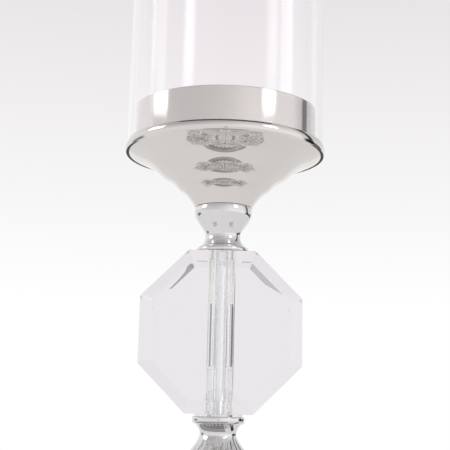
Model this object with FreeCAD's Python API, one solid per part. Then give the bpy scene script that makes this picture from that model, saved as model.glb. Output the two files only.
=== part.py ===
"""Hurricane candle holder: a glass chimney in a spun gallery, on a crystal stem and a reeded foot.

Millimetres, +Z up, the front of the crystal faces -Y, the origin is the centre of the underside.
Every piece is stacked on the one below and drawn together by a single tie rod.
"""
import FreeCAD, Part
import math
import os

# Felt pad and foot
felt_thickness = 2.0
felt_inset = 0.8
foot_radius = 80.0
foot_height = 24.0
foot_edge_height = 9.0
foot_step_radius = 68.0
foot_step_height = 15.0
foot_wall = 2.5
foot_top_wall = 3.0
foot_land = 4.0
pedestal_seat_depth = 1.2
seat_clearance = 0.3

# Cast weight inside the foot
weight_radius = 58.0
weight_felt_gap = 0.3
weight_recess_radius = 16.0
weight_recess_depth = 11.0

# Reeded pedestal
pedestal_radius = 57.0
pedestal_height = 78.0
pedestal_ring_height = 5.0
pedestal_wall = 5.0
pedestal_crown = 20.0
pedestal_neck_height = 1.0
pedestal_flare_angle = 14.0
pedestal_flare_reach = 16.0
reed_count = 18
reed_groove_depth = 3.6
reed_swell_power = 0.75
reed_foot_fade = 0.25
reed_section_count = 12
neck_radius = 11.4

# Collar under the crystal
collar_radius = 16.4
collar_height = 10.2
collar_edge_height = 4.6
collar_lower_round = 2.2
collar_upper_round = 0.5

# Crystal octagon
crystal_width = 100.0
crystal_thickness = 50.0
crystal_bevel_inset = 7.5
crystal_bevel_depth = 6.5
crystal_bore_radius = 8.6
lower_washer_thickness = 1.6
upper_washer_thickness = 0.4
crystal_washer_radius = 15.0

# Tie rod, sleeve, nuts and washers
rod_radius = 4.0
rod_clearance = 0.3
thread_clearance = 0.1
rod_end_length = 1.5
sleeve_radius = 6.2
sleeve_wall = 1.6
sleeve_play = 0.4
nut_width = 13.0
nut_height = 6.5
washer_radius = 12.0
washer_thickness = 2.0

# Spool between crystal and trumpet
spool_height = 30.1
spool_head_radius = 18.4
spool_head_height = 4.6
spool_top_radius = 17.5
spool_waist_radius = 11.2
spool_waist_height = 11.6
spool_foot_radius = 16.9
spool_foot_height = 1.9
spool_foot_round = 1.8
spool_end_hold = 0.3
spool_waist_hold = 0.78

# Spun trumpet with its half-round rim
trumpet_height = 40.3
trumpet_neck_radius = 18.5
trumpet_wall = 1.4
trumpet_web = 4.0
rim_height = 5.9
rim_wall = 1.0
rim_bulge = 0.6
rim_lip = 2.6
rim_ledge_thickness = 1.2

# Slopes of the trumpet's rings: share of the way from neck to lip, degrees above the level
trumpet_slopes = ((0, 59), (0.213, 31), (0.294, 47), (0.407, 26.5), (0.588, 42), (0.833, 21.5), (1, 27))

# Gallery plate and candle collar
plate_thickness = 1.2
dish_radius = 22.0
dish_depth = 11.0
dish_round = 2.0
candle_seat_rise = 0.8
candle_collar_height = 26.1
candle_collar_wall = 1.2

# Glass chimney
glass_radius = 63.5
glass_wall = 3.5
glass_height = 300.0
glass_rim_clearance = 0.3
glass_collar_clearance = 1.0

# Levels of the stack, from the table up
foot_level = felt_thickness
pedestal_level = foot_level + foot_height - pedestal_seat_depth
collar_level = pedestal_level + pedestal_height
lower_washer_level = collar_level + collar_height
crystal_level = lower_washer_level + lower_washer_thickness
upper_washer_level = crystal_level + crystal_width
spool_level = upper_washer_level + upper_washer_thickness
trumpet_level = spool_level + spool_height
rim_level = trumpet_level + trumpet_height
lip_level = rim_level - rim_height
ledge_level = lip_level + rim_ledge_thickness
plate_level = ledge_level + plate_thickness
candle_seat_level = plate_level + candle_seat_rise
dish_level = plate_level - dish_depth
weight_top_level = foot_level + foot_height - foot_top_wall - pedestal_seat_depth
weight_level = foot_level + weight_felt_gap
weight_seat_level = weight_level + weight_recess_depth

# Radii that follow from a fit
rod_hole_radius = rod_radius + rod_clearance
rim_inner_radius = glass_radius + glass_rim_clearance
rim_radius = rim_inner_radius + rim_wall
candle_collar_radius = glass_radius - glass_wall - glass_collar_clearance

AXIS = FreeCAD.Vector(0, 0, 1)
CENTRE = FreeCAD.Vector(0, 0, 0)


def at(radius, height):
    """Point of a turned outline."""
    return FreeCAD.Vector(radius, 0, height)


class Outline:
    """Outline in the radius and height plane, drawn edge by edge and turned about the axis."""

    def __init__(self, radius, height):
        self.start = at(radius, height)
        self.end = self.start
        self.edges = []

    def line(self, radius, height):
        """Straight edge to a point."""
        target = at(radius, height)
        self.edges.append(Part.LineSegment(self.end, target).toShape())
        self.end = target
        return self

    def bezier(self, *poles):
        """Curve drawn towards its poles, ending at the last one."""
        points = [at(*pole) for pole in poles]
        spline = Part.BezierCurve()
        spline.setPoles([self.end] + points)
        self.edges.append(spline.toShape())
        self.end = points[-1]
        return self

    def arc(self, middle, target):
        """Arc over a middle point to a target."""
        self.edges.append(Part.Arc(self.end, at(*middle), at(*target)).toShape())
        self.end = at(*target)
        return self

    def quarter(self, radius, height, leaving):
        """Quarter round to a point, leaving the last point level or upright."""
        corner = at(radius, self.end.z) if leaving == "level" else at(self.end.x, height)
        target = at(radius, height)
        centre = self.end + target - corner
        middle = centre + (corner - centre) * math.sqrt(0.5)
        self.edges.append(Part.Arc(self.end, middle, target).toShape())
        self.end = target
        return self

    def turned(self):
        """Solid of revolution of the outline, closed by a straight edge where it is open."""
        if self.end != self.start:
            self.line(self.start.x, self.start.z)
        face = Part.Face(Part.Wire(self.edges))
        return face.revolve(CENTRE, AXIS, 360)


def ring(inner, outer, low, height):
    """Plain turned ring."""
    body = Part.makeCylinder(outer, height, at(0, low))
    return body.cut(Part.makeCylinder(inner, height, at(0, low)))


def hexagon_nut(low):
    """Hexagon nut with a plain bore, its edges turned off at both ends."""
    corner = nut_width / math.sqrt(3)
    corners = []
    for index in range(7):
        angle = math.radians(60 * index)
        corners.append(FreeCAD.Vector(corner * math.cos(angle), corner * math.sin(angle), low))
    prism = Part.Face(Part.makePolygon(corners)).extrude(AXIS * nut_height)
    chamfer = (corner - nut_width / 2) * math.tan(math.radians(30))
    turned_off = Outline(0, low)
    turned_off.line(nut_width / 2, low)
    turned_off.line(corner, low + chamfer)
    turned_off.line(corner, low + nut_height - chamfer)
    turned_off.line(nut_width / 2, low + nut_height)
    turned_off.line(0, low + nut_height)
    bore = Part.makeCylinder(rod_radius + thread_clearance, nut_height, at(0, low))
    return prism.common(turned_off.turned()).cut(bore)


def felt_pad():
    """Felt disc stuck under the flat of the foot."""
    return Part.makeCylinder(foot_radius - foot_edge_height / 2 - felt_inset, felt_thickness)


def foot_plinth():
    """Spun round foot with a rolled edge, a step and a hollow that sweeps in under the pedestal."""
    land = pedestal_radius + seat_clearance
    land_edge = land + foot_land
    top = foot_level + foot_height
    edge_top = foot_level + foot_edge_height
    step_top = foot_level + foot_step_height
    half_edge = foot_edge_height / 2
    shell = Outline(rod_hole_radius, top - pedestal_seat_depth)
    shell.line(land, top - pedestal_seat_depth)
    shell.line(land, top)
    shell.line(land_edge, top)
    shell.bezier((land_edge, step_top), (foot_step_radius, step_top))
    shell.line(foot_step_radius, edge_top)
    shell.line(foot_radius - half_edge, edge_top)
    shell.quarter(foot_radius, foot_level + half_edge, "level")
    shell.quarter(foot_radius - half_edge, foot_level, "upright")
    shell.line(foot_radius - half_edge - foot_wall, foot_level)
    shell.line(foot_radius - half_edge - foot_wall, edge_top - foot_wall)
    shell.line(foot_step_radius - foot_wall, edge_top - foot_wall)
    shell.line(land_edge - foot_wall, step_top - foot_wall)
    shell.line(land_edge - foot_wall, weight_top_level)
    shell.line(rod_hole_radius, weight_top_level)
    return shell.turned()


def base_weight():
    """Cast disc against the underside of the foot, recessed for the nut."""
    disc = ring(rod_hole_radius, weight_radius, weight_level, weight_top_level - weight_level)
    return disc.cut(Part.makeCylinder(weight_recess_radius, weight_recess_depth, at(0, weight_level)))


def base_washer():
    """Washer in the recess of the weight."""
    return ring(rod_hole_radius, washer_radius, weight_seat_level - washer_thickness, washer_thickness)


def base_nut():
    """Nut that closes the stack from below."""
    return hexagon_nut(weight_seat_level - washer_thickness - nut_height)


def tie_rod():
    """Rod through the whole stack, ending just past each nut."""
    low = weight_seat_level - washer_thickness - nut_height - rod_end_length
    high = dish_level + washer_thickness + nut_height + rod_end_length
    return Part.makeCylinder(rod_radius, high - low, at(0, low))


def reed_section(crown, groove, height):
    """Closed wire of reeds: arcs from groove to groove over each crown, a groove at the front."""
    step = 2 * math.pi / reed_count
    front = -math.pi / 2
    edges = []
    for index in range(reed_count):
        points = []
        for share, radius in ((0, groove), (0.5, crown), (1, groove)):
            angle = front + (index + share) * step
            points.append(FreeCAD.Vector(radius * math.cos(angle), radius * math.sin(angle), height))
        edges.append(Part.Arc(*points).toShape())
    return Part.Wire(edges)


def swell(share):
    """Smooth rise from nothing at 0 to full at 1 and beyond."""
    return 0.5 - 0.5 * math.cos(math.pi * min(1, share))


def pedestal_curve():
    """Bell curve of the crowns, from the foot ring up to the neck."""
    flare = math.radians(pedestal_flare_angle)
    ring_top = pedestal_level + pedestal_ring_height
    neck_low = collar_level - pedestal_neck_height
    rise = neck_low - ring_top
    curve = Part.BezierCurve()
    curve.setPoles([
        at(pedestal_radius, ring_top),
        at(pedestal_radius, ring_top + rise / 2),
        at(neck_radius + pedestal_flare_reach * math.sin(flare), neck_low - pedestal_flare_reach * math.cos(flare)),
        at(neck_radius, neck_low),
    ])
    return curve


def fluted_pedestal():
    """Hollow cast bell with reeds that swell from the neck and die out above a plain foot ring."""
    curve = pedestal_curve()
    sections = []
    for index in range(reed_section_count + 1):
        share = index / reed_section_count
        point = curve.value(share)
        spread = max(0, point.x - neck_radius) / (pedestal_radius - neck_radius)
        depth = reed_groove_depth * spread ** reed_swell_power * swell(share / reed_foot_fade)
        sections.append(reed_section(point.x, point.x - depth, point.z))
    neck_level = collar_level - pedestal_neck_height
    ring_top = pedestal_level + pedestal_ring_height
    hollow_radius = pedestal_radius - pedestal_wall - reed_groove_depth
    hollow_top = neck_level - pedestal_crown
    hollow = Outline(0, pedestal_level)
    hollow.line(hollow_radius, pedestal_level)
    hollow.line(hollow_radius, ring_top)
    hollow.bezier((hollow_radius, (ring_top + hollow_top) / 2), (rod_hole_radius + pedestal_wall, hollow_top))
    hollow.line(0, hollow_top)
    bore = Part.makeCylinder(rod_hole_radius, pedestal_height, at(0, pedestal_level))
    bell = Part.makeLoft(sections, True).cut(hollow.turned()).cut(bore)
    foot_ring = ring(hollow_radius, pedestal_radius, pedestal_level, pedestal_ring_height)
    neck = ring(rod_hole_radius, neck_radius, neck_level, pedestal_neck_height)
    return bell.fuse([foot_ring, neck]).removeSplitter()


def stem_collar():
    """Turned collar with a rounded flange above a hollow neck."""
    top = collar_level + collar_height
    flange = top - collar_edge_height
    widest = flange + collar_lower_round
    collar = Outline(rod_hole_radius, collar_level)
    collar.line(neck_radius, collar_level)
    collar.bezier((neck_radius, (collar_level + flange) / 2), (collar_radius - collar_lower_round, flange))
    collar.quarter(collar_radius, widest, "level")
    collar.bezier((collar_radius, top), (collar_radius - collar_upper_round, top))
    collar.line(rod_hole_radius, top)
    return collar.turned()


def crystal_washer(low, thickness):
    """Thin clear washer that keeps metal off the crystal and lets the sleeve through."""
    return ring(sleeve_radius + rod_clearance, crystal_washer_radius, low, thickness)


def octagon(width, depth):
    """Upright octagon at a depth along Y, standing on one of its sides."""
    corner = width / 2 / math.cos(math.pi / 8)
    points = []
    for index in range(9):
        angle = math.pi / 8 + index * math.pi / 4
        height = crystal_level + crystal_width / 2 + corner * math.sin(angle)
        points.append(FreeCAD.Vector(corner * math.cos(angle), depth, height))
    return Part.makePolygon(points)


def crystal_octagon():
    """Cut crystal octagon, bevelled all round on both faces and bored upright for the rod."""
    face = crystal_thickness / 2
    girdle = face - crystal_bevel_depth
    face_width = crystal_width - 2 * crystal_bevel_inset
    sections = [
        octagon(face_width, -face),
        octagon(crystal_width, -girdle),
        octagon(crystal_width, girdle),
        octagon(face_width, face),
    ]
    block = Part.makeLoft(sections, True, True)
    return block.cut(Part.makeCylinder(crystal_bore_radius, crystal_width, at(0, crystal_level)))


def rod_sleeve():
    """Satin tube that hides the rod inside the crystal."""
    length = lower_washer_thickness + crystal_width + upper_washer_thickness - sleeve_play
    return ring(sleeve_radius - sleeve_wall, sleeve_radius, lower_washer_level, length)


def spool_knob():
    """Turned spool: a round head, a drawn-in waist and a spreading foot."""
    top = spool_level + spool_height
    head = top - spool_head_height
    waist = spool_level + spool_waist_height
    foot = spool_level + spool_foot_height
    upper_hold = (head - waist) * spool_end_hold
    foot_hold = (waist - foot) * spool_end_hold
    waist_hold = (waist - foot) * spool_waist_hold
    spool = Outline(rod_hole_radius, spool_level)
    spool.line(spool_foot_radius - spool_foot_round, spool_level)
    spool.bezier((spool_foot_radius, spool_level), (spool_foot_radius, foot))
    spool.bezier(
        (spool_foot_radius, foot + foot_hold),
        (spool_waist_radius, waist - waist_hold),
        (spool_waist_radius, waist),
    )
    spool.bezier(
        (spool_waist_radius, waist + upper_hold),
        (spool_head_radius, head - upper_hold),
        (spool_head_radius, head),
    )
    spool.bezier((spool_head_radius, top), (spool_top_radius, top))
    spool.line(rod_hole_radius, top)
    return spool.turned()


def ringed_flare():
    """Pole and end of each stretch of the flare, which bends evenly from one slope to the next."""
    reach = rim_radius - rim_lip - trumpet_neck_radius
    stretches = []
    for (inner, low_slope), (outer, high_slope) in zip(trumpet_slopes, trumpet_slopes[1:]):
        run = (outer - inner) * reach / 2
        low_rise = run * math.tan(math.radians(low_slope))
        high_rise = run * math.tan(math.radians(high_slope))
        stretches.append((run, low_rise, high_rise))
    drawn_rise = sum(low_rise + high_rise for run, low_rise, high_rise in stretches)
    scale = (lip_level - trumpet_level) / drawn_rise
    point = at(trumpet_neck_radius, trumpet_level)
    curves = []
    for run, low_rise, high_rise in stretches:
        pole = point + at(run, low_rise * scale)
        point = pole + at(run, high_rise * scale)
        curves.append((pole, point))
    return curves


def trumpet_gallery():
    """Ringed spun trumpet, closed by a web at its neck, with a half-round rim that holds the glass."""
    flare = ringed_flare()
    neck = at(trumpet_neck_radius, trumpet_level)
    across = flare[-1][1] - neck
    inward = at(-across.z, across.x) * (trumpet_wall / across.Length)
    rim_edge = rim_radius - rim_bulge
    outside = Outline(0, trumpet_level)
    outside.line(neck.x, neck.z)
    inside = Outline(0, neck.z + inward.z)
    inside.line(neck.x + inward.x, neck.z + inward.z)
    for pole, point in flare:
        outside.bezier((pole.x, pole.z), (point.x, point.z))
        inside.bezier((pole.x + inward.x, pole.z + inward.z), (point.x + inward.x, point.z + inward.z))
    outside.line(rim_edge, lip_level)
    outside.arc((rim_radius, lip_level + rim_height / 2), (rim_edge, rim_level))
    outside.line(0, rim_level)
    inside.line(inside.end.x, rim_level)
    inside.line(0, rim_level)
    web = Part.makeCylinder(trumpet_neck_radius * 2, trumpet_web, at(0, trumpet_level))
    above_ledge = Part.makeCylinder(rim_radius * 2, rim_height, at(0, ledge_level))
    hollow = inside.turned().cut(web).cut(above_ledge)
    channel = Part.makeCylinder(rim_inner_radius, rim_height, at(0, ledge_level))
    bore = Part.makeCylinder(rod_hole_radius, trumpet_height, at(0, trumpet_level))
    return outside.turned().cut(hollow).cut(channel).cut(bore)


def gallery_plate():
    """Pressed plate inside the rim: ledge for the glass, raised seat for the candle, dish for the nut."""
    edge = rim_inner_radius - seat_clearance
    seat_edge = candle_collar_radius - candle_collar_wall - seat_clearance
    seat_underside = candle_seat_level - plate_thickness
    dish_wall = dish_radius + plate_thickness
    plate = Outline(rod_hole_radius, dish_level)
    plate.line(dish_radius - dish_round, dish_level)
    plate.quarter(dish_radius, dish_level + dish_round, "level")
    plate.line(dish_radius, candle_seat_level)
    plate.line(seat_edge, candle_seat_level)
    plate.line(seat_edge, plate_level)
    plate.line(edge, plate_level)
    plate.line(edge, ledge_level)
    plate.line(seat_edge - plate_thickness, ledge_level)
    plate.line(seat_edge - plate_thickness, seat_underside)
    plate.line(dish_wall, seat_underside)
    plate.line(dish_wall, dish_level + dish_round)
    plate.quarter(dish_radius - dish_round, dish_level - plate_thickness, "upright")
    plate.line(rod_hole_radius, dish_level - plate_thickness)
    return plate.turned()


def candle_collar():
    """Upright ring round the candle, with a rounded lip, set round the raised seat of the plate."""
    top = plate_level + candle_collar_height
    inner = candle_collar_radius - candle_collar_wall
    half_wall = candle_collar_wall / 2
    collar = Outline(inner, plate_level)
    collar.line(candle_collar_radius, plate_level)
    collar.line(candle_collar_radius, top - half_wall)
    collar.quarter(candle_collar_radius - half_wall, top, "upright")
    collar.quarter(inner, top - half_wall, "level")
    return collar.turned()


def cup_washer():
    """Washer in the dish of the plate."""
    return ring(rod_hole_radius, washer_radius, dish_level, washer_thickness)


def cup_nut():
    """Nut that closes the stack from above."""
    return hexagon_nut(dish_level + washer_thickness)


def glass_chimney():
    """Straight blown cylinder, open at both ends, with fire-polished rims."""
    inner = glass_radius - glass_wall
    middle = glass_radius - glass_wall / 2
    half_wall = glass_wall / 2
    top = plate_level + glass_height
    glass = Outline(middle, plate_level)
    glass.quarter(glass_radius, plate_level + half_wall, "level")
    glass.line(glass_radius, top - half_wall)
    glass.quarter(middle, top, "upright")
    glass.quarter(inner, top - half_wall, "level")
    glass.line(inner, plate_level + half_wall)
    glass.quarter(middle, plate_level, "upright")
    return glass.turned()


pieces = {
    "felt_pad": felt_pad(),
    "foot_plinth": foot_plinth(),
    "base_weight": base_weight(),
    "base_washer": base_washer(),
    "base_nut": base_nut(),
    "tie_rod": tie_rod(),
    "fluted_pedestal": fluted_pedestal(),
    "stem_collar": stem_collar(),
    "lower_crystal_washer": crystal_washer(lower_washer_level, lower_washer_thickness),
    "crystal_octagon": crystal_octagon(),
    "rod_sleeve": rod_sleeve(),
    "upper_crystal_washer": crystal_washer(upper_washer_level, upper_washer_thickness),
    "spool_knob": spool_knob(),
    "trumpet_gallery": trumpet_gallery(),
    "gallery_plate": gallery_plate(),
    "candle_collar": candle_collar(),
    "cup_washer": cup_washer(),
    "cup_nut": cup_nut(),
    "glass_chimney": glass_chimney(),
}

os.makedirs("parts", exist_ok=True)
for name, shape in pieces.items():
    shape.exportStep(f"parts/{name}.step")
    box = shape.BoundBox
    print(
        f"{name}: solids {len(shape.Solids)}, valid {shape.isValid()}, volume {shape.Volume / 1000:.1f} cm3,",
        f"z {box.ZMin:.1f} to {box.ZMax:.1f}, width {box.XLength:.1f}",
    )
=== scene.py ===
# %% [markdown]
# # A hurricane candle holder
# A clear glass chimney stands in a nickel gallery. Under it come a turned spool, a cut crystal octagon, a
# small collar and a reeded bell on a round foot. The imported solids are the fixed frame: every piece here
# takes its place from them, and what shows is rebuilt as a smooth mesh, because polished metal shows every
# flat of a coarse one.

import math

import bmesh
import bpy
import numpy as np
from mathutils import Matrix, Vector


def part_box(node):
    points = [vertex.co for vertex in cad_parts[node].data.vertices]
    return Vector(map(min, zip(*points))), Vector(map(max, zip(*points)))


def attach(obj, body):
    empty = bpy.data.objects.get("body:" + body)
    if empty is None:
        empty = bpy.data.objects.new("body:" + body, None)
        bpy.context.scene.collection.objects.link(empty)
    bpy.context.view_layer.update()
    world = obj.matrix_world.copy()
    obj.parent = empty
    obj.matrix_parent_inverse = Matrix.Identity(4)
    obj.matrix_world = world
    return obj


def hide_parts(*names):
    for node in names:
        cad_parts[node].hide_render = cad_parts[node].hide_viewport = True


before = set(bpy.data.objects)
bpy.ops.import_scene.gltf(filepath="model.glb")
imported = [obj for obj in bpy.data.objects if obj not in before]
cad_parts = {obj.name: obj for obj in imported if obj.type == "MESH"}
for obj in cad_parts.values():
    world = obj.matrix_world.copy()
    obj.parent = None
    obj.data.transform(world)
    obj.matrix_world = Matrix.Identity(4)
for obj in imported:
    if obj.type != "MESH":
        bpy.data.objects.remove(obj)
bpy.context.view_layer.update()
scene = bpy.context.scene
print("nodes in the frame:", len(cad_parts))

# %% [markdown]
# ## Camera
# The photograph looks slightly up at the gallery from just below the middle of the crystal, with a short
# telephoto lens and a small turn of the picture. A camera matrix holds three unit vectors: right, up and
# back. They are built from the tilt and the turn, so each number here is something that a photographer
# could read off.

# %% Camera
MM = 0.001
SENSOR_WIDTH_MM = 36.0
LENS_MM = 75.64
CAMERA_PLACE = Vector((1.2, -598.5, 119.5)) * MM
CAMERA_TILT = math.radians(10.84)
CAMERA_TURN = math.radians(1.39)


def new_object(name, data):
    """New object at the origin, linked to the scene."""
    thing = bpy.data.objects.new(name, data)
    scene.collection.objects.link(thing)
    return thing


forward = Vector((0, math.cos(CAMERA_TILT), math.sin(CAMERA_TILT)))
level_right = Vector((1, 0, 0))
level_up = level_right.cross(forward)
right = level_right * math.cos(CAMERA_TURN) + level_up * math.sin(CAMERA_TURN)
up = level_up * math.cos(CAMERA_TURN) - level_right * math.sin(CAMERA_TURN)
aim = Matrix((right, up, -forward)).transposed().to_4x4()

camera = new_object("camera", bpy.data.cameras.new("camera"))
camera.data.sensor_width = SENSOR_WIDTH_MM
camera.data.lens = LENS_MM
camera.data.clip_start = 1 * MM
camera.matrix_world = Matrix.Translation(CAMERA_PLACE) @ aim
scene.camera = camera
scene.view_settings.view_transform = "Standard"
print("camera at", [round(value, 3) for value in CAMERA_PLACE])

# %% [markdown]
# ## Colours and nodes
# Colours are written as a painter would name them on screen, in sRGB hex, and one function turns them into
# the linear values that shaders work with. Node trees are built with a single function: it adds a node,
# sets its properties and fills its inputs, either with a value or with the output of another node.

# %% Colour and node helpers
def linear(code):
    """Linear colour of an sRGB hex code."""
    shares = [int(code[place:place + 2], 16) / 255 for place in (1, 3, 5)]
    return [
        share / 12.92 if share <= 0.04045 else ((share + 0.055) / 1.055) ** 2.4 for share in shares
    ] + [1.0]


def add(tree, kind, inputs=(), **settings):
    """Add one node, set its properties, and fill inputs with values or with outputs of other nodes."""
    node = tree.nodes.new(kind)
    for name, value in settings.items():
        setattr(node, name, value)
    for socket, value in dict(inputs).items():
        if isinstance(value, bpy.types.NodeSocket):
            tree.links.new(value, node.inputs[socket])
        else:
            node.inputs[socket].default_value = value
    return node


def empty_tree(owner):
    """Cleared node tree of a material or a world."""
    owner.use_nodes = True
    owner.node_tree.nodes.clear()
    return owner.node_tree


def start_material(name, **shader_values):
    """New material with a single surface shader; returns the material, its node tree and the shader."""
    material = bpy.data.materials.new(name)
    tree = empty_tree(material)
    values = {socket.replace("_", " "): value for socket, value in shader_values.items()}
    shader = add(tree, "ShaderNodeBsdfPrincipled", values)
    add(tree, "ShaderNodeOutputMaterial", {"Surface": shader.outputs["BSDF"]})
    return material, tree, shader


print("mid grey #808080 is", round(linear("#808080")[0], 3), "in linear light")

# %% [markdown]
# ## Polished nickel and chrome
# The gallery is nickel plate on brass, a warm light grey mirror; the stem and the foot are chrome plate,
# which is a touch cooler. Both are turned on a lathe or spun over a form and buffed with a cloth wheel.
# The buffing leaves hair-fine rings round the axis, which blur reflections a little, and a slow
# unevenness, which bends them. The rings come from noise read in radius and height, so they run round the
# piece, and the unevenness from a slow noise in space. Real rings are about 0.05 mm apart; they are drawn
# 0.5 mm apart, because finer ones don't show at this size.

# %% Polished nickel and chrome
BUFF_RING_MM = 0.5
BUFF_WAVE_MM = 14.0
BUFF_WAVE_RELIEF = 0.02
BUFF_ROUGHNESS = (0.02, 0.06)
RELIEF_DEPTH = 1 * MM
# Most values of a noise lie in this span.
NOISE_SPAN = (0.3, 0.7)


def polished(name, colour):
    """Buffed mirror metal of a colour."""
    metal, tree, shader = start_material(name, Base_Color=linear(colour), Metallic=1.0)
    place = add(tree, "ShaderNodeTexCoord").outputs["Object"]
    split = add(tree, "ShaderNodeSeparateXYZ", {0: place})
    flat = add(tree, "ShaderNodeCombineXYZ", {"X": split.outputs["X"], "Y": split.outputs["Y"]})
    radius = add(tree, "ShaderNodeVectorMath", {0: flat.outputs[0]}, operation="LENGTH").outputs["Value"]
    turning = add(tree, "ShaderNodeCombineXYZ", {"X": radius, "Z": split.outputs["Z"]}).outputs[0]
    rings = add(tree, "ShaderNodeTexNoise", {
        "Vector": turning, "Scale": 1 / (BUFF_RING_MM * MM), "Detail": 1.0,
    })
    waves = add(tree, "ShaderNodeTexNoise", {
        "Vector": place, "Scale": 1 / (BUFF_WAVE_MM * MM), "Detail": 2.0,
    })
    rough = add(tree, "ShaderNodeMapRange", {
        "Value": rings.outputs["Fac"], "From Min": NOISE_SPAN[0], "From Max": NOISE_SPAN[1],
        "To Min": BUFF_ROUGHNESS[0], "To Max": BUFF_ROUGHNESS[1],
    })
    relief = add(tree, "ShaderNodeBump", {
        "Height": waves.outputs["Fac"], "Strength": BUFF_WAVE_RELIEF, "Distance": RELIEF_DEPTH,
    })
    tree.links.new(rough.outputs["Result"], shader.inputs["Roughness"])
    tree.links.new(relief.outputs["Normal"], shader.inputs["Normal"])
    return metal


nickel = polished("polished_nickel", "#D6D1CE")
chrome = polished("polished_chrome", "#D9D7D8")
print("materials:", nickel.name, chrome.name)

# %% [markdown]
# ## Cut crystal and blown glass
# Optical crystal is cast in blocks, ground to facets and polished. It is very clear, so nearly all that
# the eye sees is the white room, bent and reflected inside, a little greyed by the depth of the block. The
# polishing leaves its faces very slightly uneven. The chimney is a drawn or blown tube: the same clear
# glass, but thin, with a slow waviness in its skin that wanders along the reflections. One function makes
# both, because they differ only in colour, in how strongly they bend light and in the size of their
# unevenness.

# %% Cut crystal and blown glass
CRYSTAL_COLOUR = "#FAF9FB"
CRYSTAL_IOR = 1.52
CRYSTAL_WAVE_MM = 30.0
CRYSTAL_RELIEF = 0.01
GLASS_COLOUR = "#FFFEFF"
GLASS_IOR = 1.47
GLASS_WAVE_MM = 60.0
GLASS_RELIEF = 0.02


def clear_glass(name, colour, ior, wave_mm, unevenness):
    """Clear polished glass with a slow unevenness in its skin."""
    glass, tree, shader = start_material(
        name, Base_Color=linear(colour), Roughness=0.0, IOR=ior, Transmission_Weight=1.0,
    )
    place = add(tree, "ShaderNodeTexCoord").outputs["Object"]
    waves = add(tree, "ShaderNodeTexNoise", {"Vector": place, "Scale": 1 / (wave_mm * MM), "Detail": 1.0})
    relief = add(tree, "ShaderNodeBump", {
        "Height": waves.outputs["Fac"], "Strength": unevenness, "Distance": RELIEF_DEPTH,
    })
    tree.links.new(relief.outputs["Normal"], shader.inputs["Normal"])
    return glass


crystal = clear_glass("cut_crystal", CRYSTAL_COLOUR, CRYSTAL_IOR, CRYSTAL_WAVE_MM, CRYSTAL_RELIEF)
blown_glass = clear_glass("blown_glass", GLASS_COLOUR, GLASS_IOR, GLASS_WAVE_MM, GLASS_RELIEF)
print("materials:", crystal.name, blown_glass.name)

# %% [markdown]
# ## Satin aluminium
# The sleeve in the crystal is drawn aluminium: very light and satin, with fine lines along its length that
# the drawing die leaves. So the noise that sets its gloss is stretched along the height. Real lines are a
# few hundredths of a millimetre apart; they are drawn 0.4 mm apart, because finer ones don't show at this
# size.

# %% Satin aluminium
DRAWN_LINE_MM = 0.4
DRAWN_STRETCH = 0.002
SATIN_ROUGHNESS = (0.23, 0.27)

aluminium, tree, shader = start_material("satin_aluminium", Base_Color=linear("#F5F6F6"), Metallic=1.0)
place = add(tree, "ShaderNodeTexCoord").outputs["Object"]
drawn = add(tree, "ShaderNodeVectorMath", {0: place, 1: (1, 1, DRAWN_STRETCH)}, operation="MULTIPLY")
lines = add(tree, "ShaderNodeTexNoise", {
    "Vector": drawn.outputs["Vector"], "Scale": 1 / (DRAWN_LINE_MM * MM), "Detail": 1.0,
})
rough = add(tree, "ShaderNodeMapRange", {
    "Value": lines.outputs["Fac"], "To Min": SATIN_ROUGHNESS[0], "To Max": SATIN_ROUGHNESS[1],
})
tree.links.new(rough.outputs["Result"], shader.inputs["Roughness"])
print("material:", aluminium.name)

# %% [markdown]
# ## Zinc and iron
# The rod, nuts and washers are zinc-plated steel: grey, fairly dull, with a faint spangle of lighter and
# darker patches. The weight in the foot is cast iron, dark and matt, with the grain of the sand mould. In
# each, one noise gives the tone and what goes with it: the gloss of the zinc, the relief of the iron.

# %% Zinc and iron
SPANGLE_MM = 1.5
ZINC_ROUGHNESS = (0.22, 0.42)
SAND_GRAIN_MM = 1.2
SAND_DEPTH = 0.2 * MM
SAND_RELIEF = 0.4

zinc, tree, shader = start_material("zinc_plated_steel", Metallic=1.0)
place = add(tree, "ShaderNodeTexCoord").outputs["Object"]
spangle = add(tree, "ShaderNodeTexNoise", {"Vector": place, "Scale": 1 / (SPANGLE_MM * MM), "Detail": 2.0})
tone = add(tree, "ShaderNodeMix", {
    "Factor": spangle.outputs["Fac"], "A": linear("#A9ABAD"), "B": linear("#C9CACB"),
}, data_type="RGBA")
rough = add(tree, "ShaderNodeMapRange", {
    "Value": spangle.outputs["Fac"], "To Min": ZINC_ROUGHNESS[0], "To Max": ZINC_ROUGHNESS[1],
})
tree.links.new(tone.outputs["Result"], shader.inputs["Base Color"])
tree.links.new(rough.outputs["Result"], shader.inputs["Roughness"])

iron, tree, shader = start_material("cast_iron", Metallic=0.6, Roughness=0.75)
place = add(tree, "ShaderNodeTexCoord").outputs["Object"]
sand = add(tree, "ShaderNodeTexNoise", {"Vector": place, "Scale": 1 / (SAND_GRAIN_MM * MM), "Detail": 3.0})
tone = add(tree, "ShaderNodeMix", {
    "Factor": sand.outputs["Fac"], "A": linear("#3A3A3B"), "B": linear("#5E5D5C"),
}, data_type="RGBA")
relief = add(tree, "ShaderNodeBump", {
    "Height": sand.outputs["Fac"], "Strength": SAND_RELIEF, "Distance": SAND_DEPTH,
})
tree.links.new(tone.outputs["Result"], shader.inputs["Base Color"])
tree.links.new(relief.outputs["Normal"], shader.inputs["Normal"])
print("materials:", zinc.name, iron.name)

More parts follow.
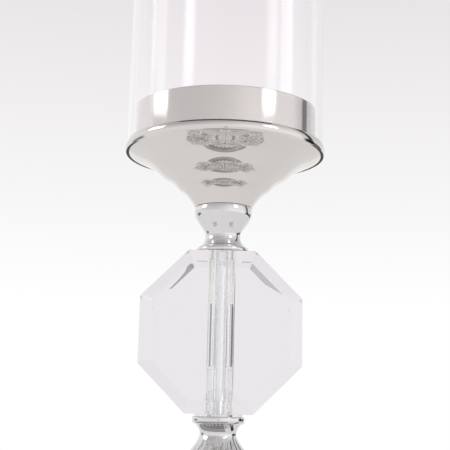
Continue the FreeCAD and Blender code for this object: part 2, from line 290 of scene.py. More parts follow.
# %% [markdown]
# ## Washer plastic and felt
# The washers on the crystal are clear plastic with a slight milky haze, so that their edge shows as a pale
# line. The pad under the foot is pressed wool felt, dark and matt, with short fibres lying every way. A
# distorted noise gives the fibres their tone and relief. Wool is finer than a tenth of a millimetre; the
# fibres are drawn 0.6 mm wide, because finer ones don't show.

# %% Washer plastic and felt
PLASTIC_IOR = 1.49
HAZE_MM = 2.0
HAZE_ROUGHNESS = (0.03, 0.08)
FELT_FIBRE_MM = 0.6
FELT_FIBRE_DEPTH = 0.3 * MM
FELT_RELIEF = 0.6

milky_plastic, tree, shader = start_material(
    "milky_washer_plastic", Base_Color=linear("#F8F9F9"), IOR=PLASTIC_IOR, Transmission_Weight=1.0,
)
place = add(tree, "ShaderNodeTexCoord").outputs["Object"]
haze = add(tree, "ShaderNodeTexNoise", {"Vector": place, "Scale": 1 / (HAZE_MM * MM)})
rough = add(tree, "ShaderNodeMapRange", {
    "Value": haze.outputs["Fac"], "To Min": HAZE_ROUGHNESS[0], "To Max": HAZE_ROUGHNESS[1],
})
tree.links.new(rough.outputs["Result"], shader.inputs["Roughness"])

felt, tree, shader = start_material("pressed_wool_felt", Roughness=0.95, Sheen_Weight=0.3)
place = add(tree, "ShaderNodeTexCoord").outputs["Object"]
fibres = add(tree, "ShaderNodeTexNoise", {
    "Vector": place, "Scale": 1 / (FELT_FIBRE_MM * MM), "Detail": 4.0, "Distortion": 2.0,
})
tone = add(tree, "ShaderNodeMix", {
    "Factor": fibres.outputs["Fac"], "A": linear("#2A2A2C"), "B": linear("#555457"),
}, data_type="RGBA")
relief = add(tree, "ShaderNodeBump", {
    "Height": fibres.outputs["Fac"], "Strength": FELT_RELIEF, "Distance": FELT_FIBRE_DEPTH,
})
tree.links.new(tone.outputs["Result"], shader.inputs["Base Color"])
tree.links.new(relief.outputs["Normal"], shader.inputs["Normal"])
print("materials:", milky_plastic.name, felt.name)

# %% [markdown]
# ## Turning a piece
# Nearly every piece is round: turned from bar or spun from sheet. So a piece is an outline in radius and
# height, swept once round the axis. The outline is drawn with three strokes, a line, a curve towards poles
# and a quarter round, which are the strokes that a turner thinks in. Lines get an extra point close to
# each end: it holds the shading flat, so the round next to it doesn't bleed into it.

# %% Outline and lathe
EDGE_HOLD = 0.25 * MM
TURN_SEGMENTS = 256
CREASE = math.radians(28)
SAME_POINT = 0.001 * MM


class Outline:
    """Outline of a turned piece: points of radius and height, in metres."""

    def __init__(self, radius, height):
        self.points = [np.array((radius, height))]

    def line(self, radius, height):
        """Straight run to a point, held flat near both ends."""
        start, end = self.points[-1], np.array((radius, height))
        length = np.linalg.norm(end - start)
        if length > 3 * EDGE_HOLD:
            hold = (end - start) * EDGE_HOLD / length
            self.points += [start + hold, end - hold]
        self.points.append(end)
        return self

    def curve(self, *poles, runs=28):
        """Smooth curve towards its poles, ending at the last one."""
        all_poles = [self.points[-1]] + [np.array(pole) for pole in poles]
        for share in np.linspace(0, 1, runs + 1)[1:]:
            layer = all_poles
            while len(layer) > 1:
                layer = [a + (b - a) * share for a, b in zip(layer, layer[1:])]
            self.points.append(layer[0])
        return self

    def quarter(self, radius, height, leaving, runs=8):
        """Quarter round to a point, leaving the last point level or upright."""
        start, end = self.points[-1], np.array((radius, height))
        corner = np.array((radius, start[1]) if leaving == "level" else (start[0], height))
        centre = start + end - corner
        for turn in np.linspace(0, math.pi / 2, runs + 1)[1:]:
            self.points.append(centre + (start - centre) * math.cos(turn) + (end - centre) * math.sin(turn))
        return self


def finish_mesh(name, mesh):
    """New object of a mesh: doubled points joined, faces outwards, smooth up to the creases."""
    shape = bmesh.new()
    shape.from_mesh(mesh)
    bmesh.ops.remove_doubles(shape, verts=shape.verts, dist=SAME_POINT)
    bmesh.ops.recalc_face_normals(shape, faces=shape.faces)
    shape.to_mesh(mesh)
    shape.free()
    mesh.shade_smooth()
    mesh.set_sharp_from_angle(angle=CREASE)
    return new_object(name, mesh)


def turned(name, outline, segments=TURN_SEGMENTS):
    """Closed piece from an outline swept once round the upright axis, with a point at the very front."""
    points = np.array(outline.points)
    angles = -math.pi / 2 + 2 * math.pi * np.arange(segments) / segments
    across = np.outer(np.cos(angles), points[:, 0])
    along = np.outer(np.sin(angles), points[:, 0])
    heights = np.tile(points[:, 1], (segments, 1))
    count = len(points)
    index = np.arange(segments * count).reshape(segments, count)
    beside = np.roll(index, -1, axis=0)
    quads = np.stack([index, beside, np.roll(beside, -1, axis=1), np.roll(index, -1, axis=1)], axis=-1)
    places = np.stack([across, along, heights], axis=-1).reshape(-1, 3)
    mesh = bpy.data.meshes.new(name)
    mesh.from_pydata(places, [], quads.reshape(-1, 4).tolist())
    return finish_mesh(name, mesh)


def levels(node):
    """Lowest level, highest level and outer radius of a round node of the frame."""
    low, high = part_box(node)
    return low.z, high.z, high.x


def fit(piece, node, material, body="stand"):
    """Give a piece its material and set it in the place of a node, on the body that it moves with."""
    piece.data.materials.clear()
    piece.data.materials.append(material)
    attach(piece, body)
    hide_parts(node)
    print(f"{piece.name}: {len(piece.data.polygons)} faces, in place of {node}")
    return piece


print("lathe ready,", TURN_SEGMENTS, "segments round")

# %% [markdown]
# ## Spun trumpet
# The gallery is spun from sheet over a form: a bell that sweeps up from a narrow neck in three soft rings
# and ends in a half-round rim, which keeps the glass from sliding off. A ring is a place where the slope
# eases and then steepens again, so the outline is written as a few slopes on the way from neck to lip.
# Between two slopes it bends evenly, which is one curve whose pole lies half-way out. The same run, moved
# in by the wall, gives the inside.

# %% Spun trumpet
NECK_RADIUS = 18.5 * MM
TRUMPET_SLOPES = ((0, 59), (0.213, 31), (0.294, 47), (0.407, 26.5), (0.588, 42), (0.833, 21.5), (1, 27))
TRUMPET_WALL = 1.4 * MM
TRUMPET_WEB = 4.0 * MM
RIM_HEIGHT = 5.9 * MM
RIM_WALL = 1.0 * MM
RIM_BULGE = 0.6 * MM
RIM_LIP = 2.6 * MM
RIM_LEDGE = 1.2 * MM
RIM_TOP_ROUND = 0.15 * MM
ROD_HOLE = 4.3 * MM

neck_level, rim_level, rim_radius = levels("trumpet_gallery")
lip_level = rim_level - RIM_HEIGHT
rim_edge = rim_radius - RIM_BULGE
rim_inside = rim_radius - RIM_WALL

flare = Outline(NECK_RADIUS, neck_level)
reach = rim_radius - RIM_LIP - NECK_RADIUS
runs = [(outer - inner) * reach / 2 for (inner, _), (outer, _) in zip(TRUMPET_SLOPES, TRUMPET_SLOPES[1:])]
rises = [math.tan(math.radians(slope)) for _, slope in TRUMPET_SLOPES]
drawn_rise = sum(run * (low + high) for run, low, high in zip(runs, rises, rises[1:]))
scale = (lip_level - neck_level) / drawn_rise
for run, low, high in zip(runs, rises, rises[1:]):
    pole = flare.points[-1] + (run, run * low * scale)
    flare.curve(pole, pole + (run, run * high * scale), runs=24)
across = flare.points[-1] - flare.points[0]
inward = np.array((-across[1], across[0])) * TRUMPET_WALL / np.linalg.norm(across)
web_level = neck_level + TRUMPET_WEB
inside = [point + inward for point in flare.points if point[1] + inward[1] > web_level]

trumpet = Outline(ROD_HOLE, neck_level)
trumpet.line(*flare.points[0])
trumpet.points += flare.points[1:]
trumpet.line(rim_edge, lip_level)
trumpet.curve((rim_edge + 2 * RIM_BULGE, lip_level + RIM_HEIGHT / 2), (rim_edge, rim_level - RIM_TOP_ROUND))
trumpet.quarter(rim_edge - RIM_TOP_ROUND, rim_level, "upright", runs=6)
trumpet.line(rim_inside, rim_level)
trumpet.line(rim_inside, lip_level + RIM_LEDGE)
trumpet.line(inside[-1][0], lip_level + RIM_LEDGE)
trumpet.points += inside[::-1]
trumpet.line(inside[0][0], web_level)
trumpet.line(ROD_HOLE, web_level)
fit(turned("spun_trumpet", trumpet), "trumpet_gallery", nickel)

# %% [markdown]
# ## Turned spool and collar
# Two small turned pieces carry the stem: the spool between trumpet and crystal, and the collar under the
# crystal. A lathe tool moves in smooth swings, so each swing is one curve that leaves and meets its
# neighbours upright, with no corner. How far its poles reach along the height says how long the tool stays
# at each end of the swing.

# %% Turned spool and collar
SPOOL_HEAD_HEIGHT = 4.6 * MM
SPOOL_TOP_RADIUS = 17.5 * MM
SPOOL_WAIST_RADIUS = 11.2 * MM
SPOOL_WAIST_HEIGHT = 11.6 * MM
SPOOL_FOOT_RADIUS = 16.9 * MM
SPOOL_FOOT_HEIGHT = 1.9 * MM
SPOOL_FOOT_ROUND = 1.8 * MM
SPOOL_END_HOLD = 0.3
SPOOL_WAIST_HOLD = 0.78
STEM_NECK_RADIUS = 11.4 * MM
COLLAR_EDGE_HEIGHT = 4.6 * MM
COLLAR_LOWER_ROUND = 2.2 * MM
COLLAR_UPPER_ROUND = 0.5 * MM

low, high, head_radius = levels("spool_knob")
head = high - SPOOL_HEAD_HEIGHT
waist = low + SPOOL_WAIST_HEIGHT
foot = low + SPOOL_FOOT_HEIGHT
upper_hold = (head - waist) * SPOOL_END_HOLD
foot_hold = (waist - foot) * SPOOL_END_HOLD
waist_hold = (waist - foot) * SPOOL_WAIST_HOLD
spool = Outline(ROD_HOLE, low)
spool.line(SPOOL_FOOT_RADIUS - SPOOL_FOOT_ROUND, low)
spool.curve((SPOOL_FOOT_RADIUS, low), (SPOOL_FOOT_RADIUS, foot), runs=16)
spool.curve(
    (SPOOL_FOOT_RADIUS, foot + foot_hold), (SPOOL_WAIST_RADIUS, waist - waist_hold),
    (SPOOL_WAIST_RADIUS, waist), runs=40,
)
spool.curve(
    (SPOOL_WAIST_RADIUS, waist + upper_hold), (head_radius, head - upper_hold), (head_radius, head), runs=40,
)
spool.curve((head_radius, high), (SPOOL_TOP_RADIUS, high), runs=16)
spool.line(ROD_HOLE, high)
fit(turned("turned_spool", spool), "spool_knob", chrome)

low, high, edge_radius = levels("stem_collar")
flange = high - COLLAR_EDGE_HEIGHT
collar = Outline(ROD_HOLE, low)
collar.line(STEM_NECK_RADIUS, low)
collar.curve((STEM_NECK_RADIUS, (low + flange) / 2), (edge_radius - COLLAR_LOWER_ROUND, flange))
collar.quarter(edge_radius, flange + COLLAR_LOWER_ROUND, "level", runs=14)
collar.curve((edge_radius, high), (edge_radius - COLLAR_UPPER_ROUND, high), runs=16)
collar.line(ROD_HOLE, high)
fit(turned("turned_collar", collar), "stem_collar", chrome)

# %% [markdown]
# ## Gallery plate and candle ring
# Inside the rim lies a pressed plate: the glass stands on its outer ledge, the candle on the raised seat,
# and a dish in the middle hides the nut. An upright ring with a rolled lip keeps the candle off the glass.
# Pressed sheet has no sharp corner, so each bend gets a small round.

# %% Gallery plate and candle ring
PLATE_THICKNESS = 1.2 * MM
SEAT_RISE = 0.8 * MM
PRESS_ROUND = 0.35 * MM
DISH_RADIUS = 22.0 * MM
DISH_ROUND = 2.0 * MM
DISH_LIP_ROUND = 1.0 * MM
CANDLE_RING_WALL = 1.2 * MM
SEAT_CLEARANCE = 0.3 * MM

ring_low, ring_high, ring_radius = levels("candle_collar")
ring_inside = ring_radius - CANDLE_RING_WALL
lip = CANDLE_RING_WALL / 2
ring = Outline(ring_inside, ring_low)
ring.line(ring_radius, ring_low)
ring.line(ring_radius, ring_high - lip)
ring.quarter(ring_radius - lip, ring_high, "upright")
ring.quarter(ring_inside, ring_high - lip, "level")
ring.line(ring_inside, ring_low)
fit(turned("candle_ring", ring), "candle_collar", nickel)

dish_under, seat_level, plate_edge = levels("gallery_plate")
dish_level = dish_under + PLATE_THICKNESS
plate_level = seat_level - SEAT_RISE
seat_edge = ring_inside - SEAT_CLEARANCE
plate = Outline(ROD_HOLE, dish_level)
plate.line(DISH_RADIUS - DISH_ROUND, dish_level)
plate.quarter(DISH_RADIUS, dish_level + DISH_ROUND, "level")
plate.line(DISH_RADIUS, seat_level - DISH_LIP_ROUND)
plate.quarter(DISH_RADIUS + DISH_LIP_ROUND, seat_level, "upright")
plate.line(seat_edge - PRESS_ROUND, seat_level)
plate.quarter(seat_edge, seat_level - PRESS_ROUND, "level")
plate.line(seat_edge, plate_level)
plate.line(plate_edge - PRESS_ROUND, plate_level)
plate.quarter(plate_edge, plate_level - PRESS_ROUND, "level")
plate.line(plate_edge, plate_level - PLATE_THICKNESS)
plate.line(seat_edge - PLATE_THICKNESS, plate_level - PLATE_THICKNESS)
plate.line(seat_edge - PLATE_THICKNESS, seat_level - PLATE_THICKNESS)
plate.line(DISH_RADIUS + PLATE_THICKNESS, seat_level - PLATE_THICKNESS)
plate.line(DISH_RADIUS + PLATE_THICKNESS, dish_level + DISH_ROUND)
plate.quarter(DISH_RADIUS - DISH_ROUND, dish_under, "upright")
plate.line(ROD_HOLE, dish_under)
fit(turned("pressed_plate", plate), "gallery_plate", nickel)

# %% [markdown]
# ## Reeded bell
# The bell under the collar is cast with eighteen reeds: rounded ribs side by side, narrow at the neck,
# swelling as the bell spreads, and dying away above a plain ring. Reeds follow a rule, so they are made by
# Geometry Nodes. The plain bell is turned first. The tree then pushes each point of its outside inwards by
# a depth that is nothing on the crown of a reed and greatest in the groove between two. The depth grows
# with how far the bell has spread, quickly at first, and fades out towards the ring.

# %% The plain bell
BELL_RING_HEIGHT = 5.0 * MM
BELL_RING_ROUND = 0.8 * MM
BELL_NECK_HEIGHT = 1.0 * MM
BELL_FLARE = math.radians(14)
BELL_FLARE_REACH = 16.0 * MM
BELL_WALL = 5.0 * MM
BELL_CROWN = 20.0 * MM
REED_COUNT = 18
REED_SEGMENTS = 24
REED_DEPTH = 3.6 * MM

low, high, bell_radius = levels("fluted_pedestal")
ring_top = low + BELL_RING_HEIGHT
neck_low = high - BELL_NECK_HEIGHT
hollow_radius = bell_radius - BELL_WALL - REED_DEPTH
hollow_top = neck_low - BELL_CROWN
flare_pole = (
    STEM_NECK_RADIUS + BELL_FLARE_REACH * math.sin(BELL_FLARE),
    neck_low - BELL_FLARE_REACH * math.cos(BELL_FLARE),
)
bell = Outline(hollow_radius, low)
bell.line(bell_radius - BELL_RING_ROUND, low)
bell.quarter(bell_radius, low + BELL_RING_ROUND, "level")
bell.line(bell_radius, ring_top)
bell.curve((bell_radius, (ring_top + neck_low) / 2), flare_pole, (STEM_NECK_RADIUS, neck_low), runs=110)
bell.line(STEM_NECK_RADIUS, high)
bell.line(ROD_HOLE, high)
bell.line(ROD_HOLE, hollow_top)
bell.line(ROD_HOLE + BELL_WALL, hollow_top)
bell.curve((hollow_radius, (ring_top + hollow_top) / 2), (hollow_radius, ring_top))
bell.line(hollow_radius, low)
reeded_bell = turned("reeded_bell", bell, segments=REED_COUNT * REED_SEGMENTS)
print("plain bell:", len(reeded_bell.data.polygons), "faces,", REED_SEGMENTS, "to a reed")

# %% [markdown]
# ## Start and end of a tree
# The reeds here and the rod's thread further on follow a rule of radius, height and angle, and both move
# the points of a turned piece along its radius. So their trees share how they start and how they end:
# named inputs for the sizes, then the move, Realize Instances and Set Material. The tree is run once and
# its result is kept as a plain mesh, because a mesh is what the export takes.

# %% Start and end of a tree
def start_tree(name, values):
    """New Geometry Nodes tree with an input for each value; returns it, its inputs and their settings."""
    tree = bpy.data.node_groups.new(name, "GeometryNodeTree")
    tree.interface.new_socket("Geometry", in_out="OUTPUT", socket_type="NodeSocketGeometry")
    tree.interface.new_socket("Geometry", in_out="INPUT", socket_type="NodeSocketGeometry")
    settings = {}
    for label, value in values.items():
        coat = isinstance(value, bpy.types.Material)
        kind = "NodeSocketMaterial" if coat else "NodeSocketFloat"
        socket = tree.interface.new_socket(label, in_out="INPUT", socket_type=kind)
        settings[socket.identifier] = value if coat else float(value)
    return tree, add(tree, "NodeGroupInput").outputs, settings


def around_axis(tree):
    """Each point as seen from the upright axis: its coordinates, its radius and its way outwards."""
    position = add(tree, "GeometryNodeInputPosition").outputs[0]
    split = add(tree, "ShaderNodeSeparateXYZ", {0: position}).outputs
    flat = add(tree, "ShaderNodeCombineXYZ", {"X": split["X"], "Y": split["Y"]}).outputs[0]
    radius = add(tree, "ShaderNodeVectorMath", {0: flat}, operation="LENGTH").outputs["Value"]
    outwards = add(tree, "ShaderNodeVectorMath", {0: flat}, operation="NORMALIZE").outputs["Vector"]
    return split, radius, outwards


def end_tree(tree, given, outwards, shares):
    """Move each point outwards by the product of all shares, then realize and coat the result."""
    push = shares[0]
    for share in shares[1:]:
        push = add(tree, "ShaderNodeMath", {0: push, 1: share}, operation="MULTIPLY").outputs[0]
    shift = add(tree, "ShaderNodeVectorMath", {0: outwards, "Scale": push}, operation="SCALE")
    pushed = add(tree, "GeometryNodeSetPosition", {
        "Geometry": given["Geometry"], "Offset": shift.outputs["Vector"],
    })
    whole = add(tree, "GeometryNodeRealizeInstances", {"Geometry": pushed.outputs[0]})
    coated = add(tree, "GeometryNodeSetMaterial", {
        "Geometry": whole.outputs[0], "Material": given["Material"],
    })
    add(tree, "NodeGroupOutput", {"Geometry": coated.outputs[0]})
    print(f"{tree.name} tree: {len(tree.nodes)} nodes")


def apply_tree(piece, tree, settings):
    """Run a tree on a piece, with its inputs set by identifier, and keep the result as a plain mesh."""
    modifier = piece.modifiers.new(tree.name, "NODES")
    modifier.node_group = tree
    for identifier, value in settings.items():
        modifier[identifier] = value
    graph = bpy.context.evaluated_depsgraph_get()
    mesh = bpy.data.meshes.new_from_object(piece.evaluated_get(graph))
    piece.modifiers.clear()
    piece.data = mesh
    mesh.shade_smooth()
    mesh.set_sharp_from_angle(angle=CREASE)
    print(f"{piece.name}: plain mesh of {len(mesh.polygons)} faces")


print("tree helpers ready for the reeds and the thread")

# %% [markdown]
# ## The reeds
# A reed's cross-section is a shallow arch. Seen round the bell, the groove's depth is the square of how
# far a point lies from the crown, which is such an arch, and the fraction of a count of turns repeats it
# eighteen times.

# %% The reeds
REED_SWELL_POWER = 0.75
REED_FADE = 21.0 * MM

reeds, given, reed_settings = start_tree("reeds", {
    "Reed Count": REED_COUNT, "Groove Depth": REED_DEPTH, "Neck Radius": STEM_NECK_RADIUS,
    "Bell Radius": bell_radius, "Ring Top": ring_top, "Fade Height": REED_FADE,
    "Swell Power": REED_SWELL_POWER, "Material": chrome,
})
split, radius, outwards = around_axis(reeds)
angle = add(reeds, "ShaderNodeMath", {0: split["X"], 1: split["Y"]}, operation="ARCTAN2").outputs[0]
turns = add(reeds, "ShaderNodeMath", {0: angle, 1: 2 * math.pi}, operation="DIVIDE").outputs[0]
counted = add(reeds, "ShaderNodeMath", {0: turns, 1: given["Reed Count"]}, operation="MULTIPLY").outputs[0]
across = add(reeds, "ShaderNodeMath", {0: counted}, operation="FRACT").outputs[0]
centred = add(reeds, "ShaderNodeMath", {0: across, 1: 2.0, 2: -1.0}, operation="MULTIPLY_ADD").outputs[0]
groove = add(reeds, "ShaderNodeMath", {0: centred, 1: 2.0}, operation="POWER").outputs[0]
print("reeds tree:", len(reeds.nodes), "nodes so far")

# %% How deep the reeds are
spread = add(reeds, "ShaderNodeMapRange", {
    "Value": radius, "From Min": given["Neck Radius"], "From Max": given["Bell Radius"],
}).outputs["Result"]
swollen = add(reeds, "ShaderNodeMath", {0: spread, 1: given["Swell Power"]}, operation="POWER").outputs[0]
above_ring = add(reeds, "ShaderNodeMath", {
    0: split["Z"], 1: given["Ring Top"],
}, operation="SUBTRACT").outputs[0]
fade = add(reeds, "ShaderNodeMapRange", {
    "Value": above_ring, "From Max": given["Fade Height"],
}, interpolation_type="SMOOTHSTEP").outputs["Result"]
facing = add(reeds, "ShaderNodeVectorMath", {
    0: add(reeds, "GeometryNodeInputNormal").outputs[0], 1: outwards,
}, operation="DOT_PRODUCT").outputs["Value"]
outside = add(reeds, "ShaderNodeMath", {0: facing, 1: 0.0}, operation="GREATER_THAN").outputs[0]
end_tree(reeds, given, outwards, (given["Groove Depth"], swollen, fade, outside, groove, -1.0))
apply_tree(reeded_bell, reeds, reed_settings)
fit(reeded_bell, "fluted_pedestal", chrome)

# %% [markdown]
# ## Spun foot and felt
# The foot is spun from sheet in one piece: a rolled edge, a step and a hollow sweep up to the land on
# which the bell sits. A felt disc under it keeps it from scratching the table. The felt is cut, not
# moulded, so its edge is only slightly rounded.

# %% Spun foot
FOOT_EDGE_HEIGHT = 9.0 * MM
FOOT_STEP_RADIUS = 68.0 * MM
FOOT_STEP_HEIGHT = 15.0 * MM
FOOT_WALL = 2.5 * MM
FOOT_TOP_WALL = 3.0 * MM
FOOT_LAND = 4.0 * MM
FOOT_ROUND = 0.6 * MM
BELL_SEAT_DEPTH = 1.2 * MM

low, high, foot_radius = levels("foot_plinth")
half_edge = FOOT_EDGE_HEIGHT / 2
edge_top = low + FOOT_EDGE_HEIGHT
step_top = low + FOOT_STEP_HEIGHT
seat = high - BELL_SEAT_DEPTH
land = bell_radius + SEAT_CLEARANCE
land_edge = land + FOOT_LAND
foot = Outline(ROD_HOLE, seat)
foot.line(land, seat)
foot.line(land, high - PRESS_ROUND)
foot.quarter(land + PRESS_ROUND, high, "upright")
foot.line(land_edge - FOOT_ROUND, high)
foot.quarter(land_edge, high - FOOT_ROUND, "level")
foot.curve((land_edge, step_top), (FOOT_STEP_RADIUS - FOOT_ROUND, step_top))
foot.quarter(FOOT_STEP_RADIUS, step_top - FOOT_ROUND, "level")
foot.line(FOOT_STEP_RADIUS, edge_top + FOOT_ROUND)
foot.quarter(FOOT_STEP_RADIUS + FOOT_ROUND, edge_top, "upright")
foot.line(foot_radius - half_edge, edge_top)
foot.quarter(foot_radius, low + half_edge, "level", runs=16)
foot.quarter(foot_radius - half_edge, low, "upright", runs=16)
foot.line(foot_radius - half_edge - FOOT_WALL, low)
foot.line(foot_radius - half_edge - FOOT_WALL, edge_top - FOOT_WALL)
foot.line(FOOT_STEP_RADIUS - FOOT_WALL, edge_top - FOOT_WALL)
foot.line(land_edge - FOOT_WALL, step_top - FOOT_WALL)
foot.line(land_edge - FOOT_WALL, seat - FOOT_TOP_WALL)
foot.line(ROD_HOLE, seat - FOOT_TOP_WALL)
fit(turned("spun_foot", foot), "foot_plinth", chrome)

# %% Felt disc
FELT_EDGE_ROUND = 0.5 * MM

low, high, felt_radius = levels("felt_pad")
disc = Outline(0, low)
disc.line(felt_radius - FELT_EDGE_ROUND, low)
disc.quarter(felt_radius, low + FELT_EDGE_ROUND, "level")
disc.line(felt_radius, high - FELT_EDGE_ROUND)
disc.quarter(felt_radius - FELT_EDGE_ROUND, high, "upright")
disc.line(0, high)
felt_disc = fit(turned("felt_disc", disc), "felt_pad", felt)

# %% [markdown]
# ## Crystal octagon
# The crystal is ground to an octagon that stands on one of its sides, with a wide bevel all round its
# front and back faces, and is drilled upright for the rod. The block is built facet by facet from four
# octagons. A ground edge is never quite sharp, and the hair-thin flat along each edge is what makes it
# glint, so the edges get a small bevel before the bore is cut. Facets stay flat shaded. Only the bore is
# shaded round, up to its sharp rims.

# %% Crystal octagon
BEVEL_INSET = 7.5 * MM
BEVEL_DEPTH = 6.5 * MM
EDGE_FLAT = 0.3 * MM
BORE_RADIUS = 8.6 * MM
BORE_SEGMENTS = 128

low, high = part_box("crystal_octagon")
crystal_centre = (low + high) / 2
crystal_width = high.z - low.z
face_width = crystal_width - 2 * BEVEL_INSET
half_depth = (high.y - low.y) / 2
girdle = half_depth - BEVEL_DEPTH


def octagon(shape, width, depth):
    """Eight points of an upright octagon standing on one side, at a depth from the crystal's middle."""
    corner = width / 2 / math.cos(math.pi / 8)
    angles = [math.pi / 8 + side * math.pi / 4 for side in range(8)]
    return [
        shape.verts.new(crystal_centre + Vector((corner * math.cos(angle), depth, corner * math.sin(angle))))
        for angle in angles
    ]


block = bmesh.new()
stations = [
    octagon(block, face_width, -half_depth),
    octagon(block, crystal_width, -girdle),
    octagon(block, crystal_width, girdle),
    octagon(block, face_width, half_depth),
]
block.faces.new(stations[0])
block.faces.new(stations[-1])
for near, far in zip(stations, stations[1:]):
    for side in range(8):
        following = (side + 1) % 8
        block.faces.new((near[side], near[following], far[following], far[side]))
bmesh.ops.recalc_face_normals(block, faces=block.faces)
bmesh.ops.bevel(block, geom=block.edges, offset=EDGE_FLAT, segments=1, affect="EDGES")
mesh = bpy.data.meshes.new("cut_octagon")
block.to_mesh(mesh)
block.free()
cut_octagon = new_object("cut_octagon", mesh)
print("crystal block:", len(mesh.polygons), "facets")

# %% Bore through the crystal
DRILL_REACH = 5 * MM
BORE_SKIN = 1.01 * BORE_RADIUS
STEEPEST_BORE_NORMAL = 0.5

drill_low = low.z - DRILL_REACH
drill_high = high.z + DRILL_REACH
drill = Outline(0, drill_low)
drill.line(BORE_RADIUS, drill_low).line(BORE_RADIUS, drill_high).line(0, drill_high)
drill_bit = turned("drill_bit", drill, segments=BORE_SEGMENTS)
cut = cut_octagon.modifiers.new("bore", "BOOLEAN")
cut.operation = "DIFFERENCE"
cut.solver = "EXACT"
cut.object = drill_bit
graph = bpy.context.evaluated_depsgraph_get()
mesh = bpy.data.meshes.new_from_object(cut_octagon.evaluated_get(graph))
cut_octagon.modifiers.clear()
cut_octagon.data = mesh
bpy.data.objects.remove(drill_bit)
mesh.set_sharp_from_angle(angle=CREASE)
for facet in mesh.polygons:
    in_bore = math.hypot(facet.center.x, facet.center.y) < BORE_SKIN
    facet.use_smooth = in_bore and abs(facet.normal.z) < STEEPEST_BORE_NORMAL
fit(cut_octagon, "crystal_octagon", crystal)

# %% [markdown]
# ## Sleeve and milky washers
# A satin tube lines the bore, so that no screw thread shows through the crystal. Thin washers of slightly
# milky plastic keep the metal from chipping the crystal at both ends. They stop a hair short of their
# neighbours: where a face of glass and a face of plastic lie in one plane, a ray can slip between the two
# and the place turns black.

# %% Sleeve and milky washers
SLEEVE_WALL = 1.6 * MM
WASHER_HOLE = 6.5 * MM
WASHER_ROUND = 0.1 * MM
WASHER_GAP = 0.05 * MM


def washer(name, node, hole, rounding, gap=0.0):
    """Flat washer with rounded outer edges, in the place of a node, a gap short of its neighbours."""
    low, high, rim = levels(node)
    low += gap
    high -= gap
    outline = Outline(hole, low)
    outline.line(rim - rounding, low).quarter(rim, low + rounding, "level", runs=4)
    outline.line(rim, high - rounding).quarter(rim - rounding, high, "upright", runs=4)
    outline.line(hole, high)
    return turned(name, outline)


low, high, sleeve_radius = levels("rod_sleeve")
tube = Outline(sleeve_radius - SLEEVE_WALL, low)
tube.line(sleeve_radius, low).line(sleeve_radius, high).line(sleeve_radius - SLEEVE_WALL, high)
tube.line(sleeve_radius - SLEEVE_WALL, low)
fit(turned("bright_sleeve", tube), "rod_sleeve", aluminium)
for place in ("lower", "upper"):
    node = f"{place}_crystal_washer"
    milky_washer = washer(f"{place}_milky_washer", node, WASHER_HOLE, WASHER_ROUND, WASHER_GAP)
    fit(milky_washer, node, milky_plastic)

# %% [markdown]
# ## Rod, nuts and washers
# One threaded rod draws the stack together. Its upper end, nut and washer show in the dish when the glass
# is looked into from above. A thread is a ridge that climbs by one pitch in each turn, so it is a rule of
# height and angle: the tree pulls each point of a plain rod inwards by a saw-tooth of the two. The nut is
# a turned blank whose radius is cut back to a hexagon, which leaves the curved edge where each flat meets
# the turned-off ends.

# %% Thread
THREAD_PITCH = 1.25 * MM
THREAD_DEPTH = 0.6 * MM
THREAD_ROWS = 6
ROD_SEGMENTS = 32

low, high, rod_radius = levels("tie_rod")
rod = Outline(0, low)
rows = round((high - low) / THREAD_PITCH * THREAD_ROWS)
for height in np.linspace(low, high, rows + 1):
    rod.points.append(np.array((rod_radius, height)))
rod.points.append(np.array((0, high)))
threaded_rod = turned("threaded_rod", rod, segments=ROD_SEGMENTS)

thread, given, thread_settings = start_tree("thread", {
    "Pitch": THREAD_PITCH, "Depth": THREAD_DEPTH, "Rod Radius": rod_radius, "Material": zinc,
})
split, radius, outwards = around_axis(thread)
skin = add(thread, "ShaderNodeMath", {0: radius, 1: given["Rod Radius"]}, operation="DIVIDE").outputs[0]
angle = add(thread, "ShaderNodeMath", {0: split["Y"], 1: split["X"]}, operation="ARCTAN2").outputs[0]
turns = add(thread, "ShaderNodeMath", {0: angle, 1: 2 * math.pi}, operation="DIVIDE").outputs[0]
climb = add(thread, "ShaderNodeMath", {0: split["Z"], 1: given["Pitch"]}, operation="DIVIDE").outputs[0]
phase = add(thread, "ShaderNodeMath", {0: climb, 1: turns}, operation="SUBTRACT").outputs[0]
tooth = add(thread, "ShaderNodeMath", {0: phase, 1: 0.5}, operation="PINGPONG").outputs[0]
end_tree(thread, given, outwards, (tooth, -2.0, given["Depth"], skin))
apply_tree(threaded_rod, thread, thread_settings)
fit(threaded_rod, "tie_rod", zinc)

# %% Nuts and steel washers
NUT_WIDTH = 13.0 * MM
NUT_CHAMFER = math.radians(30)
NUT_BORE = 4.1 * MM
NUT_SEGMENTS = 144
STEEL_ROUND = 0.4 * MM


def hexagon_nut(name, node):
    """Turned nut blank with its sides cut back to a hexagon."""
    low, high, _ = levels(node)
    flat_radius = NUT_WIDTH / 2
    corner_radius = NUT_WIDTH / math.sqrt(3)
    chamfer = (corner_radius - flat_radius) * math.tan(NUT_CHAMFER)
    blank = Outline(NUT_BORE, low)
    blank.line(flat_radius, low).curve((corner_radius, low + chamfer), runs=8)
    blank.line(corner_radius, high - chamfer).curve((flat_radius, high), runs=8)
    blank.line(NUT_BORE, high)
    nut = turned(name, blank, segments=NUT_SEGMENTS)
    for vertex in nut.data.vertices:
        angle = math.atan2(vertex.co.y, vertex.co.x)
        from_flat = (angle % (math.pi / 3)) - math.pi / 6
        reach = math.hypot(vertex.co.x, vertex.co.y)
        keep = min(1, flat_radius / math.cos(from_flat) / reach)
        vertex.co.x *= keep
        vertex.co.y *= keep
    nut.data.set_sharp_from_angle(angle=CREASE)
    return nut


